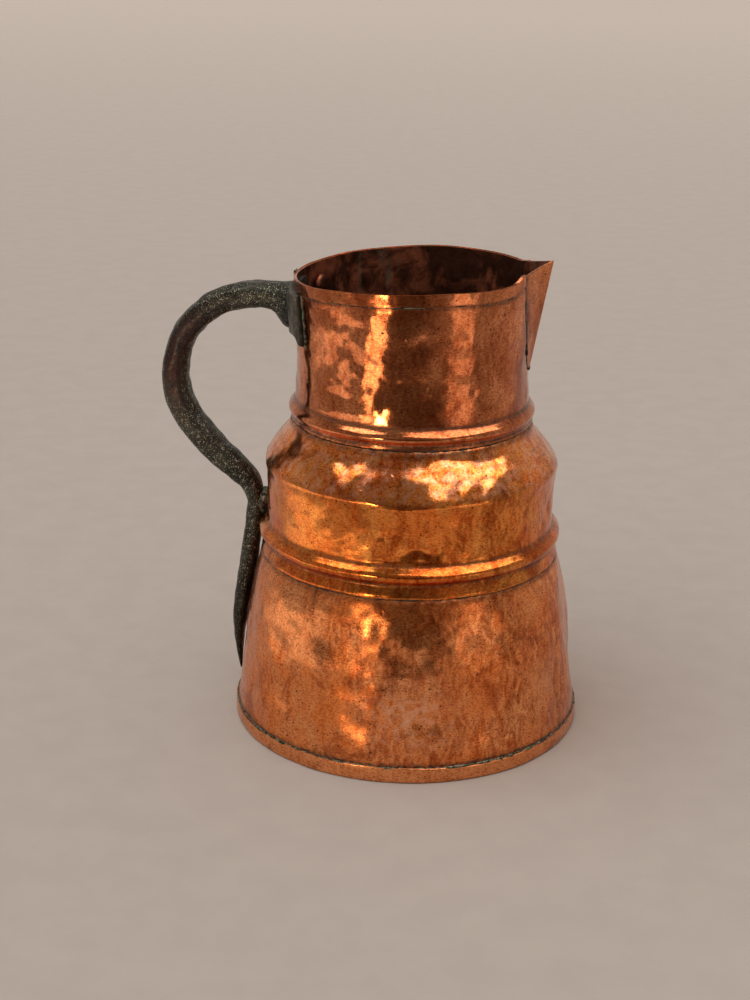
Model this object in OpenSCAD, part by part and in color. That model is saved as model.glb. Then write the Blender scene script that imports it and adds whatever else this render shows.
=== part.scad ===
// Hammered copper pitcher: a sheet-metal body in three lapped courses on a soldered pan,
// with a beak let into the rim and a forged bar handle on a two-winged palm plate.
// The jug stands on Z = 0 with its axis on Z, its spout towards +X and its handle towards -X.

/* [Sheet and base] */
// Thickness of the copper sheet, measured level
sheet_t = 1.2; // [0.8:0.1:1.6]
// Outer radius of the base pan
pan_r = 99.5; // [80:0.5:120]
// Height of the pan's upturned wall
pan_wall_h = 8.5; // [6:0.5:12]
// Thickness of the pan's flat floor
pan_floor_t = 1.4; // [1:0.1:2.4]

/* [Skirt] */
// Height of the skirt's visible top, where the middle course laps over it
skirt_h = 100.7; // [80:0.1:122]
// Outer radius of the middle course's lower lip
waist_r = 84.2; // [70:0.1:90]
// How far the skirt bulges outside a straight cone
skirt_belly = 2; // [0:0.1:4]
// Height of the skirt's collar, hidden inside the middle course
skirt_collar_h = 19; // [17:0.5:24]

/* [Middle course] */
// Height from the lower lip to the shoulder crease
band_h = 51.3; // [43:0.1:62]
// Radius of the band above its bead
band_r = 80.7; // [68:0.1:87]
// Radius of the shoulder crease
crease_r = 81.5; // [69:0.1:88]
// Height from the crease to the neck's lower lip
shoulder_h = 26; // [20:0.5:32]
// Height of the shoulder's collar, hidden inside the neck
neck_collar_h = 17; // [15:0.5:22]

/* [Neck] */
// Height from the neck's lower lip to the rim
neck_h = 82; // [68:0.1:99]
// Outer radius of the neck's lower lip
neck_lip_r = 67; // [64:0.1:70]
// Outer radius of the neck at its narrowest
neck_r = 63.9; // [60:0.1:66]
// Outer radius of the neck at the rim
mouth_r = 65.1; // [61:0.1:68]
// Height of the rim band
rim_band_h = 6.5; // [4:0.5:9]
// Thickness of the rim band
rim_band_t = 0.8; // [0.5:0.1:1.2]

/* [Beads] */
// Height of the swaged bead above the waist
low_bead_h = 9; // [6:0.5:11]
// How far that bead stands out
low_bead_proud = 4; // [2:0.1:5]
// Height of the swaged bead at the foot of the neck
neck_bead_h = 7.5; // [5:0.5:9]
// How far that bead stands out
neck_bead_proud = 2.7; // [1.5:0.1:4]

/* [Spout] */
// Reach of the spout's tip from the axis
tip_r = 75; // [70:0.5:82]
// Height of the tip above the rim
tip_rise = 8; // [4:0.5:12]
// Height of the spout's roots above the rim
root_rise = 2.5; // [1:0.5:4]
// Depth of the V cut below the rim
vee_depth = 52; // [40:0.1:63]
// Half angle between the spout's roots, seen from above
root_angle = 20; // [15:1:25]

/* [Handle] */
// Reach of the handle's outer edge from the jug's axis
handle_reach = 142.3; // [118:0.1:171]
// Width of the bar, across the plane that it bends in
bar_width = 17; // [13:0.5:21]
// Thickness of the palm plate
palm_t = 4.4; // [3:0.1:6]
// Radius of the rivets' shanks
rivet_r = 3; // [2:0.1:4]
// Radius of the rivets' heads, inside the neck
rivet_head_r = 5.5; // [4.5:0.1:7]
// Angle of each rivet from the handle's plane
rivet_angle = 26; // [22:0.5:28]

/* [Seams] */
// Width of one tooth of the cramped seams
tooth_w = 9; // [6:0.5:12]
// Height of one tooth
tooth_h = 12; // [8:0.5:16]
// Width of the brazing in the seam
braze_w = 1.4; // [1:0.1:2]

/* [Hidden] */
$fn = 96;

copper = "#b5673a";
solder_grey = "#8f9188";
brass_braze = "#b09a52";
forged_grey = "#4c5049";

// Heights of the laps, the crease and the rim
z_waist = skirt_h;
z_crease = z_waist + band_h;
z_lip = z_crease + shoulder_h;
z_rim = z_lip + neck_h;
z_band = z_rim - rim_band_h;
z_tip = z_rim + tip_rise;
z_vee = z_rim - vee_depth;
z_root = z_rim + root_rise;

// A swaged bead: a half-round swell on a sheet, from radius r_low to r_high
bead_steps = 8;
function bead(r_low, r_high, z, h, proud) = [
    for (i = [0 : bead_steps])
    let (u = i / bead_steps)
    [r_low + (r_high - r_low) * u + proud * sin(180 * u), z + h * u]
];

// Skirt: a cone from the pan up to the waist, with a slight belly.
// Each course's face ends a notch below the lip that laps over it, and solder fills the notch
notch_h = 1.5;
// How far the skirt's and the shoulder's tops stand outside the lips above them
skirt_top_proud = 0.2;
shoulder_top_proud = 0.3;
skirt_foot_r = pan_r - sheet_t;
skirt_top_r = waist_r + skirt_top_proud;
skirt_steps = 10;
function skirt_line(z) =
    let (u = (z - pan_floor_t) / (z_waist - notch_h - pan_floor_t))
    skirt_foot_r + (skirt_top_r - skirt_foot_r) * u + skirt_belly * 4 * u * (1 - u);
skirt_edge = [
    [skirt_foot_r, pan_floor_t],
    [skirt_foot_r, pan_wall_h],
    for (i = [1 : skirt_steps])
    let (z = pan_wall_h + (z_waist - notch_h - pan_wall_h) * i / skirt_steps)
    [min(skirt_foot_r, skirt_line(z)), z]
];

// Middle course: lower lip, bead, hollow band, crease and sloping shoulder
// Height of the plain lip under the bead, and how far the bead's lower edge stands out of the band
low_lip_h = 7.8;
low_bead_step = 1.1;
z_low_bead = z_waist + low_lip_h;
low_bead_foot_r = band_r + low_bead_step;
// The band draws in by this much, at this share of its height below the crease
band_hollow = 0.3;
band_hollow_share = 1 / 2.2;
// The crease is rounded off in two steps above its corner: [shares of its round in, and up]
crease_round = 2.2;
crease_steps = [[0.3, 1], [1, 2.4]];
// The shoulder swells out of its straight slope half way up, and then curves in to its top:
// [distance outside the top's radius, share of the shoulder's height]
shoulder_top_r = neck_lip_r + shoulder_top_proud;
shoulder_swell = 1.4;
shoulder_curve = [[3, 0.7], [0.5, 0.87]];
middle_edge = concat(
    [[waist_r, z_waist]],
    bead(low_bead_foot_r, band_r, z_low_bead, low_bead_h, low_bead_proud),
    [
        [band_r - band_hollow, z_crease - band_h * band_hollow_share],
        [crease_r, z_crease]
    ],
    [for (p = crease_steps) [crease_r - crease_round * p[0], z_crease + crease_round * p[1]]],
    [[(crease_r + shoulder_top_r) / 2 + shoulder_swell, z_crease + shoulder_h / 2]],
    [for (p = shoulder_curve) [shoulder_top_r + p[0], z_crease + shoulder_h * p[1]]],
    [[shoulder_top_r, z_lip - notch_h]]
);

// Neck: lower lip, bead, and a barrel that flares a little to the mouth
// Height of the plain lip under the bead, and how far it draws in over that height
neck_lip_h = 2.5;
neck_lip_draw = 0.4;
z_neck_bead = z_lip + neck_lip_h;
z_barrel = z_neck_bead + neck_bead_h;
// How far the barrel's foot stands outside its narrowest, and how quickly it draws in above that
barrel_foot_step = 1;
barrel_foot_r = neck_r + barrel_foot_step;
foot_power = 8;
barrel_steps = 6;
function barrel_line(z) =
    let (u = (z - z_barrel) / (z_rim - z_barrel))
    neck_r + (barrel_foot_r - neck_r) * pow(1 - u, foot_power) + (mouth_r - neck_r) * u * u;
neck_edge = concat(
    [[neck_lip_r, z_lip]],
    bead(neck_lip_r - neck_lip_draw, barrel_foot_r, z_neck_bead, neck_bead_h, neck_bead_proud),
    [
        for (i = [1 : barrel_steps])
        let (z = z_barrel + (z_rim - z_barrel) * i / barrel_steps)
        [barrel_line(z), z]
    ]
);

// Radius on an edge's line at height z, measured on the straight runs between its points
function edge_r(edge, z) = lookup(z, [for (p = edge) [p[1], p[0]]]);

// Heights of an edge's own points between two levels, with the levels themselves
function levels(edge, low, high) = concat(
    [low],
    [for (p = edge) if (p[1] > low + 0.01 && p[1] < high - 0.01) p[1]],
    [high]
);

// The part of an edge between two levels, moved outwards by grow
function run(edge, low, high, grow = 0) =
    [for (z = levels(edge, low, high)) [edge_r(edge, z) + grow, z]];
function backwards(points) = [for (i = [len(points) - 1 : -1 : 0]) points[i]];

// Collars: each follows the inside of the sheet that laps over it, runs straight past its bead,
// and draws in a little at its top
collar_draw = 0.3;
skirt_collar = [
    [waist_r - sheet_t, z_waist],
    [low_bead_foot_r - sheet_t, z_low_bead],
    [band_r - sheet_t, z_low_bead + low_bead_h],
    [band_r - sheet_t - collar_draw, z_waist + skirt_collar_h]
];
neck_collar = [
    [neck_lip_r - sheet_t, z_lip],
    [neck_lip_r - neck_lip_draw - sheet_t, z_neck_bead],
    [barrel_foot_r - sheet_t, z_barrel],
    [edge_r(neck_edge, z_lip + neck_collar_h) - sheet_t - collar_draw, z_lip + neck_collar_h]
];

// A ring or shell turned from an outer edge, one sheet thick
module turned_sheet(edge) {
    inner = [for (p = edge) [p[0] - sheet_t, p[1]]];
    rotate_extrude()
        polygon(concat(edge, backwards(inner)));
}

// A solid turned from an edge and filled in to the axis
module turned_solid(edge) {
    first = edge[0];
    last = edge[len(edge) - 1];
    rotate_extrude()
        polygon(concat([[0, first[1]]], edge, [[0, last[1]]]));
}

// Cramped seams: a zigzag of brazing down the back of each course, under the handle.
// The zigzag is cut outwards from the axis to a little beyond the widest course
seam_reach = pan_r + 5;
function zigzag(low, high, side) = [
    for (i = [0 : ceil((high - low) / tooth_h) * 2])
    let (z = low + i * tooth_h / 2)
    [(i % 2 == 0 ? -tooth_w : tooth_w) / 2 + side * braze_w, z]
];
module seam_path(low, high) {
    rotate([90, 0, -90])
        linear_extrude(seam_reach)
        polygon(concat(zigzag(low, high, -0.5), backwards(zigzag(low, high, 0.5))));
}

// Spout: the space inside a beak, as level five-cornered slices, each one grown sideways.
// The keel is straight, and the seam opens fast from the point of the V and then slowly.
// Levels of the slices, as shares of the height from the V's point to the spout's roots
beak_levels = [0, 0.03, 0.09, 0.18, 0.32, 0.5, 0.75, 1, 1.4];
// How the seam opens: 1 would be straight, and less opens faster at the point
beak_bow = 0.53;
// Radius of the slices' inner edges, well inside the neck's sheet
beak_core_r = neck_r - 8;
// Half angle of the V's blunt point
point_angle = 1.4;
// How far the beak's edges, and its keel at the point, lie outside the neck's face
seat = 0.3;
keel_seat = 0.4;
// A grown slice moves out at its edges and at its keel by these shares of its growth
edge_growth = 0.6;
keel_growth = 1.3;
function keel_r(s) =
    let (foot = edge_r(neck_edge, z_vee) + keel_seat)
    foot + (tip_r - foot) * s * (z_root - z_vee) / (z_tip - z_vee);
function seam_angle(s) = point_angle + (root_angle - point_angle) * pow(s, beak_bow);
function slice(s, grow) =
    let (z = z_vee + s * (z_root - z_vee))
    let (a = seam_angle(s) + grow / neck_r * 180 / PI)
    let (r = edge_r(neck_edge, min(z, z_rim)) + seat + max(grow, 0) * edge_growth)
    [
        [keel_r(s) + grow * keel_growth, 0, z],
        [r * cos(a), r * sin(a), z],
        [beak_core_r * cos(a), beak_core_r * sin(a), z],
        [beak_core_r * cos(a), -beak_core_r * sin(a), z],
        [r * cos(a), -r * sin(a), z]
    ];
module beak_block(grow, first = 0) {
    slices = [for (i = [first : len(beak_levels) - 1]) slice(beak_levels[i], grow)];
    stack(slices);
}

// A closed solid through a stack of like polygons, each listed anticlockwise seen from its end
module stack(rings) {
    n = len(rings[0]);
    last = len(rings) - 1;
    sides = [
        for (j = [0 : last - 1], i = [0 : n - 1])
        let (a = j * n + i, b = j * n + (i + 1) % n)
        each [[a, a + n, b], [b, a + n, b + n]]
    ];
    ends = [
        [for (i = [0 : n - 1]) i],
        [for (i = [n - 1 : -1 : 0]) last * n + i]
    ];
    polyhedron([for (ring = rings) each ring], concat(sides, ends));
}

// Everything above the spout's sloping lip, from its roots to its tip
module above_lip() {
    root_x = mouth_r * cos(root_angle);
    slope = atan2(z_tip - z_root, tip_r - root_x);
    translate([root_x, 0, z_root])
        rotate([0, -slope, 0])
        translate([-mouth_r, -mouth_r, 0])
        cube([4 * mouth_r, 2 * mouth_r, mouth_r]);
}

// Handle: a forged bar bent in the plane Y = 0. Each station on its middle line is
// [distance out, height, thickness in the plane of the bend, share of the bar's width].
// The bow's stations stand out from the neck and up from the rim. They were set out for a bow
// that reaches bow_reach from the neck to its outer edge, on a body bow_drop from waist to rim
bow_reach = 78.4;
bow_drop = 159.3;
bow = [
    [-1, -20.5, 27, 1.1], [6, -20.4, 25, 1.1], [9.6, -19, 18, 1.05], [14, -17.6, 14.5, 1],
    [24, -17.7, 14.6, 1], [34, -19.2, 14.6, 1], [46, -23.7, 14.2, 1], [57.6, -32.4, 14, 1],
    [66.4, -44.8, 14.5, 1], [70.1, -58, 14.8, 1], [70.7, -69.6, 15.3, 1], [67.7, -81.4, 15.8, 1],
    [60.9, -94, 15.8, 1], [49, -108, 15.4, 1], [36.4, -118.4, 14.2, 0.95], [28, -126.8, 12, 0.9]
];
// The bow hangs on a line from its root to its foot, which stands off the crease. Its reach
// stretches only what stands out of that line, so that a short handle still clears the shoulder
bow_foot_gap = 10.4;
// The line at the bow's middle and half the bar's thickness, which don't stretch
bow_fixed = 20;
bow_last = bow[len(bow) - 1];
bow_stretch = (handle_reach - neck_r - bow_fixed) / (bow_reach - bow_fixed);
function bow_out(p) =
    let (u = (p[1] - bow[0][1]) / (bow_last[1] - bow[0][1]))
    let (drawn = bow[0][0] + (bow_last[0] - bow[0][0]) * u)
    let (line = bow[0][0] + (crease_r - neck_r + bow_foot_gap - bow[0][0]) * u)
    line + (p[0] - drawn) * bow_stretch;
// The tail's stations stand off the body by a gap, down from the bead to just above the pan.
// They were set out for a skirt that is tail_drop high
tail_drop = 100.7;
tail = [
    [3.8, 123.5, 9.6, 0.85], [1.3, 112.8, 7.6, 0.85], [2.6, 91, 8.2, 0.95], [1.8, 74, 8, 1.1],
    [1.3, 58, 8, 1.15], [1.5, 45, 6.8, 1], [1.8, 33, 4.2, 0.7], [1.6, 23, 2, 0.4],
    [1.2, 15.5, 0.9, 0.15]
];
function body_r(z) = z > z_waist ? edge_r(middle_edge, z) : edge_r(skirt_edge, z);
stations = concat(
    [
        for (p = bow)
        [
            neck_r + bow_out(p),
            z_rim + p[1] * (z_rim - z_waist) / bow_drop,
            p[2],
            p[3] * bar_width
        ]
    ],
    [
        for (p = tail)
        let (z = p[1] > tail_drop ? z_waist + p[1] - tail_drop : z_waist * p[1] / tail_drop)
        [body_r(z) + p[0] + p[2] / 2, z, p[2], p[3] * bar_width]
    ]
);

// A smooth curve through the stations, with two steps between each pair
bar_steps = 2;
function between(a, b, c, d, t) =
    0.5 * (2 * b + (c - a) * t + (2 * a - 5 * b + 4 * c - d) * t * t + (3 * b - a - 3 * c + d) * t * t * t);
function bar_at(k) =
    let (last = len(stations) - 1)
    let (i = min(floor(k / bar_steps), last - 1))
    between(
        stations[max(i - 1, 0)], stations[i], stations[i + 1], stations[min(i + 2, last)],
        k / bar_steps - i
    );
// Sides of the bar's section, and the power that squares it off: 1 is round, and less is squarer
bar_sides = 12;
squareness = 0.75;
function soft(x) = sign(x) * pow(abs(x), squareness);
function bar_ring(k) =
    let (count = (len(stations) - 1) * bar_steps)
    let (p = bar_at(k))
    let (step = bar_at(min(k + 1, count)) - bar_at(max(k - 1, 0)))
    let (length = norm([step[0], step[1]]))
    let (across = [step[1], -step[0]] / length)
    [
        for (i = [0 : bar_sides - 1])
        let (a = 360 * i / bar_sides)
        let (off = soft(cos(a)) * p[2] / 2)
        [-(p[0] + across[0] * off), -soft(sin(a)) * p[3] / 2, p[1] + across[1] * off]
    ];
module bar() {
    stack([for (k = [0 : (len(stations) - 1) * bar_steps]) bar_ring(k)]);
}

// Palm: a plate bent round the neck on a bed of solder, with a wing and a pointed tongue on each
// side. Its outline is [distance from the handle's plane, height above the rim].
bed_t = rim_band_t;
palm_half_w = 40;
palm_half = [
    [2.5, -3.2], [5, -7], [14, -8.6], [34.5, -9], [36.5, -16], [38, -22], [palm_half_w, -36],
    [33, -34], [20, -35], [8, -38]
];
// How far the bed of solder shows beyond the palm's sides
palm_margin = 1;
function mirrored(points) = [for (p = points) [-p[0], p[1]]];
palm_outline = concat(palm_half, backwards(mirrored(palm_half)));
// Levels that the palm's outline lies between
palm_low = z_rim - 45;
palm_high = z_rim - 1;
module palm_prism(grow) {
    rotate([90, 0, -90])
        linear_extrude(2 * mouth_r)
        scale([1 + grow / palm_half_w, 1])
        translate([0, z_rim])
        polygon(palm_outline);
}
module palm_shell(inner, outer) {
    rotate_extrude()
        polygon(concat(
            run(neck_edge, palm_low, palm_high, inner),
            backwards(run(neck_edge, palm_low, palm_high, outer))
        ));
}
palm_face = bed_t + palm_t;

// Rivets: a row of radial positions shared by the palm, its solder, the neck and the rivets
rivet_drop = 16.5;
rivet_z = z_rim - rivet_drop;
rivet_head_h = 2.2;
module at_rivets() {
    for (side = [-1, 1])
        translate([0, 0, rivet_z])
        rotate([0, 0, 180 + side * rivet_angle])
        rotate([0, 90, 0])
        children();
}
module rivet_holes() {
    at_rivets()
        cylinder(r = rivet_r, h = 2 * mouth_r);
}

// ---- The pieces ----

module base_pan() {
    color(copper)
        rotate_extrude()
        polygon([
            [0, 0], [pan_r, 0], [pan_r, pan_wall_h], [skirt_foot_r, pan_wall_h],
            [skirt_foot_r, pan_floor_t], [0, pan_floor_t]
        ]);
}

module skirt_whole() {
    turned_sheet(concat(skirt_edge, skirt_collar));
}
module skirt() {
    color(copper)
        difference() {
            skirt_whole();
            seam_path(-tooth_h, z_waist + skirt_collar_h + tooth_h);
        }
}
module skirt_seam() {
    color(brass_braze)
        intersection() {
            skirt_whole();
            seam_path(-tooth_h, z_waist + skirt_collar_h + tooth_h);
        }
}

module middle_whole() {
    turned_sheet(concat(middle_edge, neck_collar));
}
module middle_course() {
    color(copper)
        difference() {
            middle_whole();
            seam_path(z_waist - tooth_h, z_lip + neck_collar_h + tooth_h);
        }
}
module middle_seam() {
    color(brass_braze)
        intersection() {
            middle_whole();
            seam_path(z_waist - tooth_h, z_lip + neck_collar_h + tooth_h);
        }
}

module neck_whole() {
    difference() {
        turned_sheet(neck_edge);
        rivet_holes();
        beak_block(0);
    }
}
module neck() {
    color(copper)
        difference() {
            neck_whole();
            seam_path(z_lip - tooth_h, z_rim + tooth_h);
        }
}
module neck_seam() {
    color(brass_braze)
        intersection() {
            neck_whole();
            seam_path(z_lip - tooth_h, z_rim + tooth_h);
        }
}

module rim_band() {
    color(copper)
        difference() {
            rotate_extrude()
                polygon(concat(
                    run(neck_edge, z_band, z_rim),
                    backwards(run(neck_edge, z_band, z_rim, rim_band_t))
                ));
            beak_block(0);
        }
}

module spout() {
    color(copper)
        difference() {
            beak_block(0);
            beak_block(-sheet_t, 1);
            above_lip();
            turned_solid(concat(
                [for (p = neck_edge) [p[0] - sheet_t, p[1]]],
                [[mouth_r - sheet_t, z_tip + sheet_t]]
            ));
        }
}

module handle_bar() {
    color(forged_grey)
        difference() {
            bar();
            turned_solid(run(neck_edge, palm_low, palm_high, palm_face));
        }
}

module handle_palm() {
    color(solder_grey)
        difference() {
            intersection() {
                palm_shell(bed_t, palm_face);
                palm_prism(0);
            }
            rivet_holes();
        }
}

module palm_solder() {
    color(solder_grey)
        difference() {
            intersection() {
                palm_shell(0, bed_t);
                palm_prism(palm_margin);
                translate([0, 0, palm_low])
                    cylinder(r = pan_r, h = z_band - palm_low);
            }
            rivet_holes();
        }
}

module palm_rivets() {
    color(forged_grey)
        intersection() {
            at_rivets()
                translate([0, 0, neck_r - sheet_t - rivet_head_h]) {
                    cylinder(r = rivet_r, h = mouth_r);
                    cylinder(r = rivet_head_r, h = rivet_head_h);
                }
            turned_solid(run(neck_edge, palm_low, palm_high, palm_face));
        }
}

// Tail braze: a lump that fills the corner above the low bead, behind the bar. Its centre's height
// and its radius are shares of the bead's height
braze_level = 1.6;
braze_size = 0.85;
module tail_braze() {
    color(solder_grey)
        difference() {
            translate([-low_bead_foot_r, 0, z_low_bead + low_bead_h * braze_level])
                rotate([90, 0, 0])
                cylinder(r = low_bead_h * braze_size, h = bar_width, center = true);
            turned_solid(middle_edge);
            bar();
        }
}

// A fillet of solder in the corner between three points of a turned joint
module fillet_ring(points) {
    color(solder_grey)
        rotate_extrude()
        polygon(points);
}
// Size of the fillets, and the height that the foot's fillet climbs up the skirt
fillet = 0.8;
z_foot_fillet = pan_wall_h + 1.5 * fillet;
module foot_solder() {
    fillet_ring([
        [skirt_foot_r, pan_wall_h], [pan_r, pan_wall_h],
        [edge_r(skirt_edge, z_foot_fillet), z_foot_fillet]
    ]);
}
module waist_solder() {
    fillet_ring([[skirt_top_r, z_waist - notch_h], [waist_r, z_waist], [waist_r - sheet_t, z_waist]]);
}
module neck_solder() {
    fillet_ring([[shoulder_top_r, z_lip - notch_h], [neck_lip_r, z_lip], [neck_lip_r - sheet_t, z_lip]]);
}
module rim_solder() {
    color(solder_grey)
        difference() {
            rotate_extrude()
                polygon([
                    [edge_r(neck_edge, z_band - fillet), z_band - fillet],
                    [edge_r(neck_edge, z_band) + rim_band_t, z_band],
                    [edge_r(neck_edge, z_band), z_band]
                ]);
            beak_block(0);
            palm_prism(palm_margin);
        }
}
module spout_solder() {
    color(solder_grey)
        intersection() {
            difference() {
                beak_block(fillet);
                beak_block(0);
            }
            rotate_extrude($fn = 360)
                polygon(concat(
                    run(neck_edge, z_vee - fillet, z_band - fillet),
                    backwards(run(neck_edge, z_vee - fillet, z_band - fillet, fillet))
                ));
        }
}

base_pan();
skirt();
middle_course();
neck();
rim_band();
spout();
handle_bar();
handle_palm();
palm_rivets();
tail_braze();
palm_solder();
foot_solder();
waist_solder();
neck_solder();
rim_solder();
spout_solder();
skirt_seam();
middle_seam();
neck_seam();
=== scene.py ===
import math
import bmesh
import bpy
import numpy as np
from mathutils import Matrix, Vector


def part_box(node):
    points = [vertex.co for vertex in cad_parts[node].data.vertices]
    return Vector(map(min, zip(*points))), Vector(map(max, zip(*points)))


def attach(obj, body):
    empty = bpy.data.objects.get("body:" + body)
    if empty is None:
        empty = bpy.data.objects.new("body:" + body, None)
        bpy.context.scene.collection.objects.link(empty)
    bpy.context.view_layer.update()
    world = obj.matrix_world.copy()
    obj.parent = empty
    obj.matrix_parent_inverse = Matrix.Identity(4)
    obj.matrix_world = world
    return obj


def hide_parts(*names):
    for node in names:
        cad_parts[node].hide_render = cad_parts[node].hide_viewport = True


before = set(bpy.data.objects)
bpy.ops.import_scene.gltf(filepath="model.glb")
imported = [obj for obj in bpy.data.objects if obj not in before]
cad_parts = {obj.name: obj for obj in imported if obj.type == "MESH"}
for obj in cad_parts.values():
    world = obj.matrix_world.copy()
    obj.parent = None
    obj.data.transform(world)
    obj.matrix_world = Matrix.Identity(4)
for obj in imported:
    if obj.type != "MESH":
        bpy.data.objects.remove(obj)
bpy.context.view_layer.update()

# ---------------------------------------------------------------------------
# Base pan: a flat disc of sheet copper with its edge turned up round the foot
# of the skirt. The edge was cut by hand, so its top line wanders a little.
# ---------------------------------------------------------------------------
MM = 0.001
SHEET = 1.2 * MM
TURN = 2 * math.pi


def waves(angle, height, radius, length, depth, seed, count=30):
    """A rolling surface: the sum of many cosines of whole turns round the jug and of height,
    whose wavelengths spread round `length`. Returns about plus or minus `depth`."""
    rng = np.random.default_rng(seed)
    total = 0
    for _ in range(count):
        size = length * rng.uniform(0.7, 1.8)
        lean = rng.uniform(0, math.pi)
        turns = round(TURN * radius * math.cos(lean) / size)
        climb = TURN * math.sin(lean) / size
        total = total + np.cos(turns * angle + climb * height + rng.uniform(0, TURN))
    return depth * total / math.sqrt(count / 2)


def rolls(angle, height, radius, *layers):
    """Waves of several lengths laid over each other. Each layer gives its length and depth, in
    millimetres, and its seed."""
    return sum(waves(angle, height, radius, length * MM, depth * MM, seed) for length, depth, seed in layers)


def near(value, level, reach):
    """One at a level, falling smoothly to nothing a few reaches away."""
    return np.exp(-((value - level) / reach) ** 2)


def step(value, low, high):
    """Rises smoothly from nothing at `low` to one at `high`."""
    share = np.clip((value - low) / (high - low), 0, 1)
    return share * share * (3 - 2 * share)


def place(radius, angle, height):
    """Turns cylinder coordinates into points."""
    radius, angle, height = np.broadcast_arrays(radius, angle, height)
    return np.stack([radius * np.cos(angle), radius * np.sin(angle), height], axis=-1)


def grid_faces(rows, columns, wrap_rows=False, wrap_columns=False):
    """Quads between neighbouring points of a grid, as an array of four indices each."""
    i = np.arange(rows if wrap_rows else rows - 1)[:, None]
    j = np.arange(columns if wrap_columns else columns - 1)[None, :]
    i2 = (i + 1) % rows
    j2 = (j + 1) % columns
    corners = (i * columns + j, i * columns + j2, i2 * columns + j2, i2 * columns + j)
    return np.stack(corners, axis=-1).reshape(-1, 4)


def stand(name, data):
    """Puts a mesh, a lamp or a camera into the scene as an object."""
    piece = bpy.data.objects.new(name, data)
    bpy.context.scene.collection.objects.link(piece)
    return piece


def make_piece(name, points, faces, materials, slot, node, masks=None, inside=None):
    """Makes one mesh object, with its masks as point attributes and its second material on the
    faces marked inside, merges doubled points, and puts it in place of its CAD node."""
    mesh = bpy.data.meshes.new(name)
    face_list = faces if isinstance(faces, list) else faces.tolist()
    mesh.from_pydata(points.reshape(-1, 3).tolist(), [], face_list)
    for label, values in (masks or {}).items():
        layer = mesh.attributes.new(label, "FLOAT", "POINT")
        layer.data.foreach_set("value", np.ascontiguousarray(values, dtype=np.float32).ravel())
    for each in materials:
        mesh.materials.append(each)
    if inside is not None:
        mesh.polygons.foreach_set("material_index", np.asarray(inside).astype(np.int32).ravel())
    work = bmesh.new()
    work.from_mesh(mesh)
    bmesh.ops.remove_doubles(work, verts=work.verts, dist=0.001 * MM)
    bmesh.ops.recalc_face_normals(work, faces=work.faces)
    work.to_mesh(mesh)
    work.free()
    mesh.shade_smooth()
    mesh.set_sharp_from_angle(angle=math.radians(40))
    piece = stand(name, mesh)
    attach(piece, "root")
    if node:
        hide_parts(node)


def capped(points):
    """The points and faces of a tube of rings, each end closed with a fan to a middle point."""
    rows, columns = points.shape[:2]
    flat = np.vstack([points.reshape(-1, 3), points[[0, -1]].mean(axis=1)])
    around = np.arange(columns)
    ahead = (around + 1) % columns
    last = (rows - 1) * columns
    foot = np.stack([ahead, around, np.full(columns, rows * columns)], axis=1)
    crown = np.stack([around + last, ahead + last, np.full(columns, rows * columns + 1)], axis=1)
    return flat, grid_faces(rows, columns, wrap_columns=True).tolist() + foot.tolist() + crown.tolist()


def on_tube(shape, **masks):
    """Masks of a capped tube's rings, with nothing at the middle points of its two ends."""
    return {label: np.append(np.broadcast_to(mask, shape).ravel(), [0, 0]) for label, mask in masks.items()}


def colour(code):
    """An sRGB hex value as the linear colour that shaders take."""
    parts = [int(code[i:i + 2], 16) / 255 for i in (1, 3, 5)]
    return [p / 12.92 if p <= 0.04045 else ((p + 0.055) / 1.055) ** 2.4 for p in parts] + [1.0]


def add(tree, kind, sockets=(), out=0, **settings):
    """Adds a shader node of a kind with its settings. Each socket gets a link, a value or a hex
    colour: they are named or numbered, or listed in the node's own order. Returns one output."""
    made = tree.nodes.new("ShaderNode" + kind)
    for key, value in settings.items():
        setattr(made, key, value)
    for key, value in sockets.items() if isinstance(sockets, dict) else enumerate(sockets):
        if isinstance(value, bpy.types.NodeSocket):
            tree.links.new(value, made.inputs[key])
        else:
            made.inputs[key].default_value = colour(value) if isinstance(value, str) else value
    return made.outputs[out] if len(made.outputs) else None


SMOOTH = {"interpolation_type": "SMOOTHSTEP"}
TIMES = {"operation": "MULTIPLY"}
# A pattern's scale is this many millimetres divided by the size of one blotch of it.
METRE = 1000


def start_material(name):
    """An empty material with its node tree, and its Object coordinates."""
    material = bpy.data.materials.new(name)
    material.use_nodes = True
    tree = material.node_tree
    tree.nodes.clear()
    return material, tree, add(tree, "TexCoord", out="Object")


def patches(tree, where, size_mm, low, high, detail=3, rough=0.55, warp=0.0, least=0.0, most=1.0):
    """Soft patches about size_mm across: noise, whose values from low to high are taken smoothly
    from least to most and held there."""
    look = {"Vector": where, "Scale": METRE / size_mm, "Detail": detail, "Roughness": rough, "Distortion": warp}
    return add(tree, "MapRange", [add(tree, "TexNoise", look), low, high, least, most], **SMOOTH)


def spots(tree, where, spacing_mm, core, edge, some):
    """Scattered spots, one to a cell: full inside its core, gone past its edge, both as shares of
    the spacing, and kept only where some other pattern is high."""
    cells = add(tree, "TexVoronoi", {"Vector": where, "Scale": METRE / spacing_mm})
    spot = add(tree, "MapRange", [cells, core, edge, 1.0, 0.0], **SMOOTH)
    return add(tree, "Math", [spot, some], **TIMES)


def weighted(tree, *pairs):
    """The sum of values, each multiplied by its weight."""
    total = 0.0
    for value, weight in pairs:
        total = add(tree, "Math", [value, weight, total], operation="MULTIPLY_ADD")
    return total


def layer(tree, base, code, *masks, how="MIX"):
    """Lays a hex colour over a base by the product of its masks."""
    share = masks[0]
    for mask in masks[1:]:
        share = add(tree, "Math", [share, mask], **TIMES)
    return add(tree, "Mix", {0: share, 6: base, 7: code}, 2, data_type="RGBA", blend_type=how)


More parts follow.
